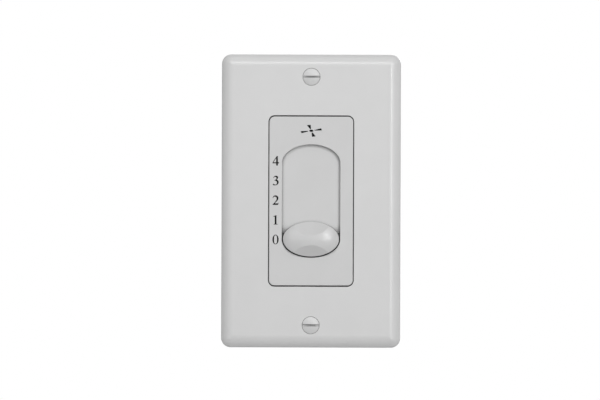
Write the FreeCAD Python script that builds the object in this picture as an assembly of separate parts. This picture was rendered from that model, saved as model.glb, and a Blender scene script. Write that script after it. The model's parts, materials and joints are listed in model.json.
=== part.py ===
import FreeCAD, Part
import math
import os

Vector = FreeCAD.Vector

# A one-gang fan speed control. X runs to the right as seen from the room, Y runs back into
# the wall and Z runs up. The origin lies on the wall plane, midway between the box screws.

# Sizes across and along run outwards from the knob, each piece by a margin from the one
# inside it. The margins bring the box screws to 83.34 apart, the plate screws to 96.84 and
# the plate to 114.3 high, which are the standard sizes of a one-gang opening.

# Fixings
screw_thread_radius = 1.75
thread_gap = 0.05
screw_slot_width = 0.85
screw_tip = 0.5

# Wall plate
plate_width = 69.85
plate_end_margin = 8.73
plate_depth = 5.6
plate_wall = 2.0
plate_corner_radius = 3.7
plate_inner_radius = 1.7
cushion_run = 4.7
cushion_radius = 6.3
plate_edge_radius = 1.0
window_corner_radius = 2.5
window_edge_radius = 0.25
collar_wall = 1.5
rib_wall = 1.2
rib_height = 1.6
rib_spacing = 40.0
plate_boss_radius = 3.0
plate_hole_radius = 2.0
plate_strap_gap = 0.2

# Plate screws, oval headed
oval_head_radius = 3.3
oval_head_rim = 0.25
oval_head_dome = 0.65
oval_head_angle = 82.0
oval_head_gap = 0.15
oval_slot_depth = 1.0
plate_screw_length = 12.7

# Face bezel
bezel_side_gap = 0.3
bezel_end_gap = 0.42
bezel_side_margin = 5.0
bezel_end_margin = 10.88
bezel_proud = 0.4
bezel_face = 2.0
bezel_wall = 1.3
bezel_corner_radius = 2.1
bezel_inner_radius = 0.5
bezel_edge_radius = 0.3
opening_edge_radius = 0.15
lip_thickness = 1.3
hook_thickness = 1.2
hook_height = 4.0
hook_barb = 0.7
hook_barb_length = 1.4
hook_gap = 0.15
hook_carriage_gap = 1.2
hook_catch_gap = 0.05
stake_radius = 1.2
stake_head_radius = 1.9
stake_head_height = 0.6
stake_hole_gap = 0.1
stake_side_inset = 2.9
stake_end_inset = 3.5

# Track floor
floor_thickness = 1.0
floor_lap = 0.4
floor_end_gap = 0.75
floor_hook_gap = 0.45
floor_end_length = 7.6
floor_corner_radius = 0.8
notch_width = 1.8
notch_depth = 0.5
notch_length = 8.0

# Slide knob
speed_positions = 5
knob_travel = 29.6
knob_width = 21.8
knob_height = 13.6
knob_gap = 0.45
knob_peak = 3.6
knob_ridge_drop = 0.3
dome_radius_across = 31.0
dome_radius_along = 13.25
dome_end_run = 2.9
dome_end_radius = 7.5
dome_margin = 0.5
upper_scoop_start = 1.75
upper_scoop_angle = 35.5
upper_scoop_radius = 40.0
lower_scoop_start = 2.15
lower_scoop_angle = 32.0
lower_scoop_radius = 90.0
knob_edge_radius = 0.2
knob_core_wall = 2.0
knob_core_depth = 1.4
wing_reach = 2.3
wing_height = 5.4
wing_gap = 0.1
wing_side_gap = 0.25
leg_thickness = 0.9
leg_height = 5.0
leg_gap = 0.1
leg_catch_gap = 0.05
leg_barb = 0.7
leg_barb_length = 0.85

# Slide carriage
carriage_gap = 0.2
carriage_thickness = 2.4
carriage_height = 14.0
carriage_corner_radius = 0.6
carriage_side_gap = 0.3
ear_gap = 0.2
peg_radius = 1.1
peg_head_radius = 1.7
peg_head_height = 0.45
peg_spacing = 6.0
spring_bed_width = 3.6
spring_bed_depth = 0.9

# Detent spring
spring_thickness = 0.25
spring_width = 3.0
spring_length = 11.0
spring_foot = 1.6
spring_nose_width = 2.4
spring_nose_height = 0.45
spring_nose_gap = 0.05
spring_bed_gap = 0.3

# Wiper contact
wiper_thickness = 0.3
wiper_width = 15.0
wiper_height = 6.0
wiper_finger_width = 2.0
wiper_bend_radius = 0.9
wiper_tip_width = 1.6
wiper_tip_height = 0.5
wiper_gap = 0.1

# Mounting strap
strap_thickness = 1.3
strap_side_margin = 0.5
strap_end_margin = 1.72
strap_ear_margin = 3.98
box_screw_margin = 7.07
screw_pair_spacing = 6.75
strap_corner_radius = 2.5
strap_neck_width = 19.0
strap_inner_radius = 0.6
plaster_ear_width = 31.2
plaster_ear_height = 7.6
plaster_ear_radius = 1.2
break_notch_radius = 0.9
strap_window_margin = 1.5
strap_window_radius = 1.5
box_slot_width = 3.8
box_slot_length = 7.0
tab_width = 12.0
tab_length = 8.5
tab_spacing = 34.0
tab_bend_radius = 0.4
tab_relief = 1.0
tab_gap = 0.15
tab_window_width = 7.2
tab_window_start = 2.9
tab_window_length = 2.85

# Box screws and their retainers
box_head_radius = 3.4
box_head_height = 1.9
box_head_edge = 0.6
box_neck_radius = 1.55
box_neck_gap = 0.05
box_slot_cut_depth = 1.0
box_screw_length = 19.3
retainer_size = 8.0
retainer_corner_radius = 1.5
retainer_thickness = 0.38

# Ground screw
ground_side_margin = 3.0
ground_rise = 2.27
ground_lug_width = 9.2
ground_lug_height = 9.2
ground_lug_radius = 2.0
ground_thread_radius = 2.08
ground_washer_radius = 4.0
ground_washer_height = 0.6
ground_hex_flats = 6.35
ground_head_height = 1.9
ground_screw_length = 6.3
ground_slot_depth = 0.8

# Rear housing
housing_width = 42.0
housing_end_inset = 0.05
housing_depth = 34.0
housing_corner_radius = 3.0
housing_draft = 0.4
housing_wall = 1.6
housing_back = 2.0
housing_inner_radius = 1.4
housing_back_edge = 1.2
housing_mouth_edge = 0.3
pillar_width = 5.6
pillar_height = 6.2
pillar_radius = 1.0
catch_depth = 0.8
catch_gap = 0.15
catch_side_gap = 0.4
lead_hole_radius = 1.9
lead_spacing = 9.0
lead_hole_inset = 4.9
lead_rim_wall = 0.9
lead_rim_height = 0.6

# Circuit board and its screws
board_front = 3.5
board_thickness = 1.6
board_gap = 0.4
board_corner_radius = 1.0
board_screw_inset = 3.0
board_screw_radius = 1.3
board_head_radius = 2.3
board_head_height = 1.4
board_head_dome = 0.5
board_slot_width = 0.6
board_screw_length = 8.0
board_hole_gap = 0.1

# Contacts on the board
contact_thickness = 0.4
contact_width = 5.4
contact_height = 3.6
contact_corner_radius = 0.6
contact_x = 6.0
contact_pin_radius = 0.5
contact_pin_short = 0.1
rail_width = 3.0
rail_overrun = 3.2
rail_pin_overrun = 0.2
pin_hole_gap = 0.1

# Capacitors and resistors behind the board, with their place along Z
large_capacitor = {"z": 17.5, "width": 27.0, "thickness": 12.0, "height": 21.0, "pitch": 22.5}
middle_capacitor = {"z": 3.4, "width": 27.0, "thickness": 10.0, "height": 18.0, "pitch": 22.5}
small_capacitor = {"z": -9.2, "width": 24.0, "thickness": 8.0, "height": 15.0, "pitch": 20.0}
capacitor_edge_radius = 0.7
capacitor_foot = 0.4
capacitor_foot_inset = 2.0
capacitor_lead_radius = 0.4
lead_stand = 0.6
resistor_inset = 10.9
resistor_spacing = 14.4
resistor_length = 8.0
resistor_radius = 1.9
resistor_waist = 0.3
resistor_cap = 1.6
resistor_pitch = 12.4
resistor_lead_radius = 0.35
resistor_bend_radius = 0.9
resistor_stand = 0.1

# Levels along Y, each from the one in front of it
strap_front = -strap_thickness
plate_front = -plate_depth
plate_inside = plate_front + plate_wall
plate_inner_end = strap_front - plate_strap_gap
bezel_front = plate_front - bezel_proud
floor_front = bezel_front + bezel_face
floor_back = floor_front + floor_thickness
lip_back = bezel_front + lip_thickness
knob_back = floor_front - wing_gap
wing_front = lip_back + wing_gap
carriage_front = floor_back + carriage_gap
carriage_back = carriage_front + carriage_thickness
contact_front = board_front - contact_thickness
board_back = board_front + board_thickness
housing_inside = housing_depth - housing_back

# Half sizes and places, from the knob outwards
knob_half_width = knob_width / 2
knob_half_height = knob_height / 2
knob_rest_z = -knob_travel / 2
opening_half_width = knob_half_width + knob_gap
opening_end_height = knob_half_height + knob_gap
opening_end_z = knob_travel / 2
opening_half_height = opening_end_z + opening_end_height
wing_end = knob_half_width + wing_reach
leg_inside = wing_end - leg_thickness
carriage_half_width = leg_inside - leg_gap
bezel_half_width = opening_half_width + bezel_side_margin
bezel_half_height = opening_half_height + bezel_end_margin
bezel_inner_half_width = bezel_half_width - bezel_wall
bezel_inner_half_height = bezel_half_height - bezel_wall
window_half_width = bezel_half_width + bezel_side_gap
window_half_height = bezel_half_height + bezel_end_gap
strap_window_half_width = wing_end + strap_window_margin
hook_outside = strap_window_half_width - hook_gap
hook_z = opening_end_z + carriage_height / 2 + hook_carriage_gap + hook_height / 2
strap_window_half_height = hook_z + hook_height / 2 + strap_window_radius
floor_half_height = bezel_inner_half_height - floor_end_gap
floor_end_half_width = hook_outside - hook_thickness - floor_hook_gap
stake_x = floor_end_half_width - stake_side_inset
stake_z = floor_half_height - stake_end_inset
housing_half_width = housing_width / 2
housing_half_height = bezel_half_height - housing_end_inset
housing_inner_half_width = housing_half_width - housing_wall
housing_inner_half_height = housing_half_height - housing_wall
lead_z = lead_hole_inset - housing_inner_half_height
resistor_z = resistor_inset - housing_inner_half_height
board_screw_x = housing_inner_half_width - board_screw_inset
board_screw_z = housing_inner_half_height - board_screw_inset
rail_pin_z = knob_travel / 2 + rail_pin_overrun
tab_inside = housing_half_width + tab_gap
tab_root = tab_inside - tab_bend_radius - tab_relief
strap_half_width = housing_half_width + strap_side_margin
strap_body_half_height = housing_half_height + strap_end_margin
box_screw_z = strap_body_half_height + box_screw_margin
plate_screw_z = box_screw_z + screw_pair_spacing
strap_half_length = plate_screw_z + strap_ear_margin
ground_x = -strap_neck_width / 2 - ground_side_margin
ground_z = ground_rise - box_screw_z
plate_half_width = plate_width / 2
plate_half_height = plate_screw_z + plate_end_margin
speed_step = knob_travel / (speed_positions - 1)
capacitors = (large_capacitor, middle_capacitor, small_capacitor)
signs = (-1, 1)
corners = [(sx, sz) for sx in signs for sz in signs]

# Two places closer than this are the same place
near = 0.001


def box(x0, x1, y0, y1, z0, z1):
    return Part.makeBox(x1 - x0, y1 - y0, z1 - z0, Vector(x0, y0, z0))


def rod(radius, y0, y1, x=0, z=0):
    """A round bar along Y."""
    return Part.makeCylinder(radius, y1 - y0, Vector(x, y0, z), Vector(0, 1, 0))


def taper(radius0, radius1, y0, y1, x=0, z=0):
    """A cone along Y, from one radius to another."""
    return Part.makeCone(radius0, radius1, y1 - y0, Vector(x, y0, z), Vector(0, 1, 0))


def cap(radius, height, y_base, x=0, z=0):
    """A low dome that stands out to the front of its base circle."""
    ball_radius = (radius ** 2 + height ** 2) / (2 * height)
    ball = Part.makeSphere(ball_radius, Vector(x, y_base - height + ball_radius, z))
    return ball.common(rod(radius, y_base - height, y_base, x, z))


def union(shapes):
    return shapes[0].fuse(shapes[1:]).removeSplitter()


def path(points_list):
    """A wire of lines, from pairs of points, and of arcs, from threes."""
    edges = []
    for points in points_list:
        if len(points) == 2:
            edges.append(Part.makeLine(*points))
        else:
            edges.append(Part.Arc(*points).toShape())
    return Part.Wire(Part.__sortEdges__(edges))


def loop(points, place):
    """A closed outline through flat points, each put in space by place."""
    corners_in_space = [place(*point) for point in points]
    return Part.Wire(Part.makePolygon(corners_in_space + corners_in_space[:1]))


def across_z(x, y):
    return Vector(x, y, 0)


def across_x(z, y):
    return Vector(0, y, z)


def prism_along_z(points, z_middle, height):
    """A piece of even section along Z, from points in X and Y."""
    face = Part.Face(loop(points, across_z))
    prism = face.extrude(Vector(0, 0, height))
    prism.translate(Vector(0, 0, z_middle - height / 2))
    return prism


def rounded_outline(half_width, half_height, radius, y):
    """A rectangle with round corners, square to Y."""
    arcs = []
    for turn in range(4):
        side_x = 1 if turn in (0, 3) else -1
        side_z = 1 if turn < 2 else -1
        centre = Vector(side_x * (half_width - radius), y, side_z * (half_height - radius))
        angles = [math.radians(90 * turn + 45 * step) for step in range(3)]
        arcs.append([centre + Vector(math.cos(a), 0, math.sin(a)) * radius for a in angles])
    sides = [(arcs[turn - 1][2], arcs[turn][0]) for turn in range(4)]
    return path(arcs + sides)


def slab(half_width, half_height, radius, y0, y1, x=0, z=0):
    """A flat block with round corners, square to Y."""
    block = Part.Face(rounded_outline(half_width, half_height, radius, y0))
    block = block.extrude(Vector(0, y1 - y0, 0))
    block.translate(Vector(x, 0, z))
    return block


def ellipse_wire(half_width, half_height, y):
    curve = Part.Ellipse(Vector(half_width, y, 0), Vector(0, y, half_height), Vector(0, y, 0))
    return Part.Wire([curve.toShape()])


def opening_prism(y0, y1):
    """The slide's opening: straight sides, with half an ellipse at each end."""
    edges = []
    for side in signs:
        centre = Vector(0, y0, side * opening_end_z)
        end_of_width = centre + Vector(opening_half_width, 0, 0)
        end_of_height = centre + Vector(0, 0, side * opening_end_height)
        ellipse = Part.Ellipse(end_of_width, end_of_height, centre)
        edges.append(Part.ArcOfEllipse(ellipse, 0, math.pi).toShape())
        x = side * opening_half_width
        edges.append(Part.makeLine(Vector(x, y0, -opening_end_z), Vector(x, y0, opening_end_z)))
    outline = Part.Wire(Part.__sortEdges__(edges))
    return Part.Face(outline).extrude(Vector(0, y1 - y0, 0))


def in_plane(edge, y):
    bounds = edge.BoundBox
    return abs(bounds.YMin - y) < near and abs(bounds.YMax - y) < near


def edges_within(shape, y, half_width, half_height):
    """The edges of a shape that lie in the plane at y, no further out than an opening's rim."""
    rim = []
    for edge in shape.Edges:
        bounds = edge.BoundBox
        reach_x = max(-bounds.XMin, bounds.XMax)
        reach_z = max(-bounds.ZMin, bounds.ZMax)
        inside = reach_x < half_width + near and reach_z < half_height + near
        if in_plane(edge, y) and inside:
            rim.append(edge)
    return rim


def along_y(edge):
    bounds = edge.BoundBox
    return bounds.XLength < near and bounds.ZLength < near and bounds.YLength > near


def border(edge, inset):
    """Stretches of the plate's section, from inset inside an edge down to the edge's foot."""
    flat_end = edge - cushion_run
    cushion_y = plate_front + cushion_radius
    reach = cushion_radius - plate_edge_radius
    edge_x = edge - plate_edge_radius
    edge_y = cushion_y - math.sqrt(reach ** 2 - (edge_x - flat_end) ** 2)
    slope_x = (edge_x - flat_end) / reach
    slope_y = (edge_y - cushion_y) / reach
    stretches = []
    start_x = edge - inset
    if start_x < flat_end:
        stretches.append([(start_x, plate_front), (flat_end, plate_front)])
        start_x = flat_end
    start_y = cushion_y - math.sqrt(cushion_radius ** 2 - (start_x - flat_end) ** 2)
    start = (start_x, start_y)
    joint = (flat_end + slope_x * cushion_radius, cushion_y + slope_y * cushion_radius)
    middle_x = (start[0] + joint[0]) / 2 - flat_end
    middle_y = (start[1] + joint[1]) / 2 - cushion_y
    scale = cushion_radius / math.hypot(middle_x, middle_y)
    cushion_middle = (flat_end + middle_x * scale, cushion_y + middle_y * scale)
    stretches.append([start, cushion_middle, joint])
    turn = math.hypot(1 + slope_x, slope_y)
    edge_middle = (
        edge_x + plate_edge_radius * (1 + slope_x) / turn,
        edge_y + plate_edge_radius * slope_y / turn,
    )
    stretches.append([joint, edge_middle, (edge, edge_y)])
    stretches.append([(edge, edge_y), (edge, 0)])
    return stretches


def plate_section(half, place):
    """The plate's whole section across one of its directions."""
    right = border(half, half)
    left = [[(-u, v) for u, v in points] for points in right]
    outline = right + left + [[(-half, 0), (half, 0)]]
    return Part.Face(path([[place(u, v) for u, v in points] for points in outline]))


def plate_corner():
    """One round corner of the plate, its section turned about the corner's centre."""
    outline = border(plate_corner_radius, plate_corner_radius)
    top = outline[0][0]
    outline = outline + [[(0, 0), (plate_corner_radius, 0)], [(0, 0), top]]
    section = Part.Face(path([[across_z(u, v) for u, v in points] for points in outline]))
    return section.revolve(Vector(0, 0, 0), Vector(0, 1, 0), -90)


def plate_blank():
    """The plate's outside: two crossed sections, mitred where they meet, and round corners."""
    upright = plate_section(plate_half_width, across_z).extrude(Vector(0, 0, 2 * plate_half_height))
    upright.translate(Vector(0, 0, -plate_half_height))
    level = plate_section(plate_half_height, across_x).extrude(Vector(plate_width, 0, 0))
    level.translate(Vector(-plate_half_width, 0, 0))
    blank = upright.common(level)
    corner_x = plate_half_width - plate_corner_radius
    corner_z = plate_half_height - plate_corner_radius
    square = box(corner_x, plate_half_width, plate_front, 0, corner_z, plate_half_height)
    squares = [square.copy()]
    rounds = [plate_corner()]
    rounds[0].translate(Vector(corner_x, 0, corner_z))
    squares.append(square.mirror(Vector(), Vector(1, 0, 0)))
    rounds.append(rounds[0].mirror(Vector(), Vector(1, 0, 0)))
    squares += [shape.mirror(Vector(), Vector(0, 0, 1)) for shape in squares]
    rounds += [shape.mirror(Vector(), Vector(0, 0, 1)) for shape in rounds]
    return union([blank.cut(squares)] + rounds)


def countersink(z, gap):
    """The room for an oval head, as wide as the head and a gap."""
    radius = oval_head_radius + gap
    seat = plate_front + oval_head_rim
    depth = (radius - screw_thread_radius) / math.tan(math.radians(oval_head_angle / 2))
    rim = rod(radius, plate_front, seat, 0, z)
    return rim.fuse(taper(radius, screw_thread_radius, seat, seat + depth, 0, z))


def wall_plate():
    plate = plate_blank()
    inner_x = plate_half_width - plate_wall
    inner_z = plate_half_height - plate_wall
    plate = plate.cut(slab(inner_x, inner_z, plate_inner_radius, plate_inside, 0))
    collar_radius = window_corner_radius + collar_wall
    collar_x = window_half_width + collar_wall
    collar_z = window_half_height + collar_wall
    collar = slab(collar_x, collar_z, collar_radius, plate_inside, plate_inner_end)
    additions = [collar]
    rib_end = plate_inside + rib_height
    for side, level in corners:
        rib_z = level * rib_spacing / 2
        rib_x = sorted((side * window_half_width, side * (inner_x + plate_wall / 2)))
        additions.append(
            box(*rib_x, plate_inside, rib_end, rib_z - rib_wall / 2, rib_z + rib_wall / 2)
        )
    for z in (-plate_screw_z, plate_screw_z):
        additions.append(rod(plate_boss_radius, plate_inside, plate_inner_end, 0, z))
    plate = union([plate] + additions)
    window = slab(window_half_width, window_half_height, window_corner_radius, plate_front, 0)
    plate = plate.cut(window)
    rim = edges_within(plate, plate_front, window_half_width, window_half_height)
    plate = plate.makeFillet(window_edge_radius, rim)
    for z in (-plate_screw_z, plate_screw_z):
        plate = plate.cut(rod(plate_hole_radius, plate_front, 0, 0, z))
        plate = plate.cut(countersink(z, oval_head_gap))
    return plate


def plate_screw(z):
    """Oval head with a level slot, and a straight thread."""
    tip = plate_front + plate_screw_length
    screw = union(
        [
            cap(oval_head_radius, oval_head_dome, plate_front, 0, z),
            countersink(z, 0),
            rod(screw_thread_radius, plate_front, tip - screw_tip, 0, z),
            taper(screw_thread_radius, screw_thread_radius - screw_tip, tip - screw_tip, tip, 0, z),
        ]
    )
    top = plate_front - oval_head_dome
    slot = box(
        -oval_head_radius,
        oval_head_radius,
        top,
        top + oval_slot_depth,
        z - screw_slot_width / 2,
        z + screw_slot_width / 2,
    )
    return screw.cut(slot)


def bezel_hook(side, level):
    """A leg that passes inside the strap's window and catches behind the strap."""
    inside = hook_outside - hook_thickness
    outline = [
        (inside, floor_front),
        (hook_outside, floor_front),
        (hook_outside, hook_catch_gap),
        (hook_outside + hook_barb, hook_catch_gap),
        (hook_outside, hook_catch_gap + hook_barb_length),
        (inside, hook_catch_gap + hook_barb_length),
    ]
    points = [(side * x, y) for x, y in outline]
    return prism_along_z(points, level * hook_z, hook_height)


def bezel_stake(side, level):
    """A post through the track floor, its head spread over the floor's back."""
    x = side * stake_x
    z = level * stake_z
    post = rod(stake_radius, floor_front, floor_back, x, z)
    return post.fuse(rod(stake_head_radius, floor_back, floor_back + stake_head_height, x, z))


def face_bezel():
    bezel = slab(bezel_half_width, bezel_half_height, bezel_corner_radius, bezel_front, strap_front)
    bezel = bezel.makeFillet(bezel_edge_radius, [e for e in bezel.Edges if in_plane(e, bezel_front)])
    hollow = slab(
        bezel_inner_half_width, bezel_inner_half_height, bezel_inner_radius, floor_front, strap_front
    )
    bezel = bezel.cut(hollow)
    bezel = bezel.cut(opening_prism(bezel_front, floor_front))
    rim = edges_within(bezel, bezel_front, opening_half_width, opening_half_height)
    bezel = bezel.makeFillet(opening_edge_radius, rim)
    pocket_x = wing_end + wing_side_gap
    pocket_z = opening_end_z + wing_height / 2 + wing_side_gap
    bezel = bezel.cut(box(-pocket_x, pocket_x, lip_back, floor_front, -pocket_z, pocket_z))
    legs = [bezel_hook(side, level) for side, level in corners]
    stakes = [bezel_stake(side, level) for side, level in corners]
    return union([bezel] + legs + stakes)


def track_floor():
    """The floor that shows in the opening, wider at its ends where it is staked."""
    half_width = opening_half_width + floor_lap
    floor = [
        slab(half_width, floor_half_height, floor_corner_radius, floor_front, floor_back)
    ]
    for level in signs:
        end_z = level * (floor_half_height - floor_end_length / 2)
        floor.append(
            slab(
                floor_end_half_width,
                floor_end_length / 2,
                floor_corner_radius,
                floor_front,
                floor_back,
                0,
                end_z,
            )
        )
    floor = union(floor)
    for side, level in corners:
        x = side * stake_x
        z = level * stake_z
        floor = floor.cut(rod(stake_radius + stake_hole_gap, floor_front, floor_back, x, z))
    for position in range(speed_positions):
        z = knob_rest_z + position * speed_step
        notch = [
            (z - notch_width / 2, floor_back),
            (z, floor_back - notch_depth),
            (z + notch_width / 2, floor_back),
        ]
        groove = Part.Face(loop(notch, across_x)).extrude(Vector(notch_length, 0, 0))
        groove.translate(Vector(-notch_length / 2, 0, 0))
        floor = floor.cut(groove)
    return floor


def knob_dome():
    """A crowned body, tighter along Z than across: an arch with rounder ends, turned about X."""
    crown = bezel_front - knob_peak
    axis_y = crown + dome_radius_along
    end_start = knob_half_width - dome_end_run
    end_slope = math.asin(end_start / dome_radius_across)
    joint_y = crown + dome_radius_across * (1 - math.cos(end_slope))
    reach = knob_half_width + dome_margin
    reach_slope = math.asin(math.sin(end_slope) + (reach - end_start) / dome_end_radius)
    middle_slope = (end_slope + reach_slope) / 2

    def end_point(slope):
        x = end_start + dome_end_radius * (math.sin(slope) - math.sin(end_slope))
        y = joint_y + dome_end_radius * (math.cos(end_slope) - math.cos(slope))
        return (x, y)

    right = [end_point(slope) for slope in (end_slope, middle_slope, reach_slope)]
    left = [(-x, y) for x, y in right]
    outline = [right, left, [left[0], (0, crown), right[0]]]
    outline += [[right[2], (reach, axis_y)], [(reach, axis_y), (-reach, axis_y)]]
    outline.append([(-reach, axis_y), left[2]])
    section = Part.Face(path([[across_z(x, y) for x, y in points] for points in outline]))
    dome = section.revolve(Vector(0, axis_y, 0), Vector(1, 0, 0), 360)
    dome.translate(Vector(0, 0, -knob_ridge_drop))
    return dome


def scoop(side, start, angle, radius):
    """The round cutter of a finger scoop, laid on the slope that starts on the dome."""
    slope = math.radians(angle)
    along = Vector(0, math.sin(slope), side * math.cos(slope))
    outward = Vector(0, -math.cos(slope), side * math.sin(slope))
    sag = dome_radius_along - math.sqrt(dome_radius_along ** 2 - start ** 2)
    crown_y = bezel_front - knob_peak
    edge = Vector(0, crown_y + sag, -knob_ridge_drop + side * start)
    base = edge + outward * radius - along * knob_width
    return Part.makeCylinder(radius, 2 * knob_width, base, along)


def knob_leg(side):
    """A leg beside the track floor, hooked behind the carriage."""
    catch = carriage_back + leg_catch_gap
    outline = [
        (wing_end, wing_front),
        (wing_end, catch + leg_barb_length),
        (leg_inside, catch + leg_barb_length),
        (leg_inside - leg_barb, catch),
        (leg_inside, catch),
        (leg_inside, wing_front),
    ]
    points = [(side * x, y) for x, y in outline]
    return prism_along_z(points, 0, leg_height)


def slide_knob():
    """Oval knob with a domed ridge between two scoops, held under the bezel by its wings."""
    blank = Part.Face(ellipse_wire(knob_half_width, knob_half_height, knob_back))
    blank = blank.extrude(Vector(0, bezel_front - knob_peak - knob_back, 0))
    knob = blank.common(knob_dome())
    knob = knob.cut(scoop(1, upper_scoop_start, upper_scoop_angle, upper_scoop_radius))
    knob = knob.cut(scoop(-1, lower_scoop_start, lower_scoop_angle, lower_scoop_radius))
    rounded = [e for e in knob.Edges if not in_plane(e, knob_back) and not along_y(e)]
    knob = knob.makeFillet(knob_edge_radius, rounded)
    core = ellipse_wire(knob_half_width - knob_core_wall, knob_half_height - knob_core_wall, knob_back)
    knob = knob.cut(Part.Face(core).extrude(Vector(0, -knob_core_depth, 0)))
    pieces = [knob]
    for side in signs:
        wing_x = sorted((side * (knob_half_width - knob_core_wall), side * wing_end))
        pieces.append(box(*wing_x, wing_front, knob_back, -wing_height / 2, wing_height / 2))
        pieces.append(knob_leg(side))
    knob = union(pieces)
    knob.translate(Vector(0, 0, knob_rest_z))
    return knob


def slide_carriage():
    """Flat carriage between the knob's legs, guided by its ears in the strap's window."""
    half_height = carriage_height / 2
    ear_x = strap_window_half_width - carriage_side_gap
    carriage = slab(
        ear_x, half_height, carriage_corner_radius, carriage_front, carriage_back
    )
    cut_z = leg_height / 2 + ear_gap
    for side in signs:
        notch_x = sorted((side * carriage_half_width, side * (ear_x + carriage_side_gap)))
        carriage = carriage.cut(box(*notch_x, carriage_front, carriage_back, -cut_z, cut_z))
    bed_x = spring_bed_width / 2
    bed_z = spring_length / 2 + spring_bed_gap
    bed_end = carriage_front + spring_bed_depth
    carriage = carriage.cut(box(-bed_x, bed_x, carriage_front, bed_end, -bed_z, bed_z))
    pegs = []
    for side in signs:
        x = side * peg_spacing / 2
        under = carriage_back + wiper_thickness
        pegs.append(rod(peg_radius, carriage_back, under, x))
        pegs.append(rod(peg_head_radius, under, under + peg_head_height, x))
    carriage = union([carriage] + pegs)
    carriage.translate(Vector(0, 0, knob_rest_z))
    return carriage


def strip(stretches, thickness, width, x):
    """Bent strip metal: a centre line in Z and Y, thickened and drawn out along X."""
    line = path([[across_x(z, y) for z, y in points] for points in stretches])
    line.translate(Vector(x - width / 2, 0, 0))
    band = line.makeOffset2D(thickness, 0, True, True)
    return band.extrude(Vector(width, 0, 0))


def wiper_contact():
    """Bridge under the carriage with two bent fingers, one on the rail and one on a contact."""
    base_y = carriage_back + wiper_thickness
    half_height = wiper_height / 2
    bend_z = half_height - wiper_bend_radius
    bend_y = carriage_back + wiper_bend_radius
    arm_y = bend_y + wiper_bend_radius
    tip_y = contact_front - wiper_gap
    shoulder_y = tip_y - wiper_tip_height
    half_tip = wiper_tip_width / 2
    stretches = [
        [(0, carriage_back), (bend_z, carriage_back)],
        [(bend_z, carriage_back), (half_height, bend_y), (bend_z, arm_y)],
        [(bend_z, arm_y), (half_tip, shoulder_y)],
        [(half_tip, shoulder_y), (0, tip_y), (-half_tip, shoulder_y)],
    ]
    base = box(-wiper_width / 2, wiper_width / 2, carriage_back, base_y, -half_height, bend_z)
    pieces = [base]
    for side in signs:
        pieces.append(strip(stretches, wiper_thickness, wiper_finger_width, side * contact_x))
    wiper = union(pieces)
    for side in signs:
        wiper = wiper.cut(rod(peg_radius + pin_hole_gap, carriage_back, base_y, side * peg_spacing / 2))
    wiper.translate(Vector(0, 0, knob_rest_z))
    return wiper


def detent_spring():
    """Leaf spring in the carriage's bed, its nose pressed level with the track floor's back."""
    foot_y = carriage_front + spring_bed_depth - spring_thickness
    nose_y = floor_back + spring_nose_gap
    shoulder_y = nose_y + spring_nose_height
    half_length = spring_length / 2
    half_nose = spring_nose_width / 2
    stretches = [[(-half_nose, shoulder_y), (0, nose_y), (half_nose, shoulder_y)]]
    for side in signs:
        foot_z = side * (half_length - spring_foot)
        stretches.append([(side * half_nose, shoulder_y), (foot_z, foot_y)])
        stretches.append([(foot_z, foot_y), (side * half_length, foot_y)])
    spring = strip(stretches, spring_thickness, spring_width, 0)
    spring.translate(Vector(0, 0, knob_rest_z))
    return spring


def strap_tab(side, level):
    """A side tab folded back along the housing, with a window for the housing's catch."""
    outside = tab_inside + strap_thickness
    bend_x = tab_inside - tab_bend_radius
    half_root = math.sqrt(0.5)
    outer_radius = tab_bend_radius + strap_thickness
    outer_middle = (bend_x + outer_radius * half_root, tab_bend_radius - outer_radius * half_root)
    inner_middle = (
        bend_x + tab_bend_radius * half_root,
        tab_bend_radius - tab_bend_radius * half_root,
    )
    outline = [
        [(tab_root, strap_front), (bend_x, strap_front)],
        [(bend_x, strap_front), outer_middle, (outside, tab_bend_radius)],
        [(outside, tab_bend_radius), (outside, tab_length)],
        [(outside, tab_length), (tab_inside, tab_length)],
        [(tab_inside, tab_length), (tab_inside, tab_bend_radius)],
        [(tab_inside, tab_bend_radius), inner_middle, (bend_x, 0)],
        [(bend_x, 0), (tab_root, 0)],
        [(tab_root, 0), (tab_root, strap_front)],
    ]
    section = Part.Face(path([[across_z(side * x, y) for x, y in points] for points in outline]))
    tab = section.extrude(Vector(0, 0, tab_width))
    z = level * tab_spacing / 2
    tab.translate(Vector(0, 0, z - tab_width / 2))
    window_x = sorted((side * tab_inside, side * outside))
    window_end = tab_window_start + tab_window_length
    half_window = tab_window_width / 2
    return tab.cut(box(*window_x, tab_window_start, window_end, z - half_window, z + half_window))


def box_screw_slot(z):
    """A level slot with round ends, which lets the switch be set upright on a tilted box."""
    radius = box_slot_width / 2
    centre_x = box_slot_length / 2 - radius
    slot = box(-centre_x, centre_x, strap_front, 0, z - radius, z + radius)
    return slot.fuse([rod(radius, strap_front, 0, side * centre_x, z) for side in signs])


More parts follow.
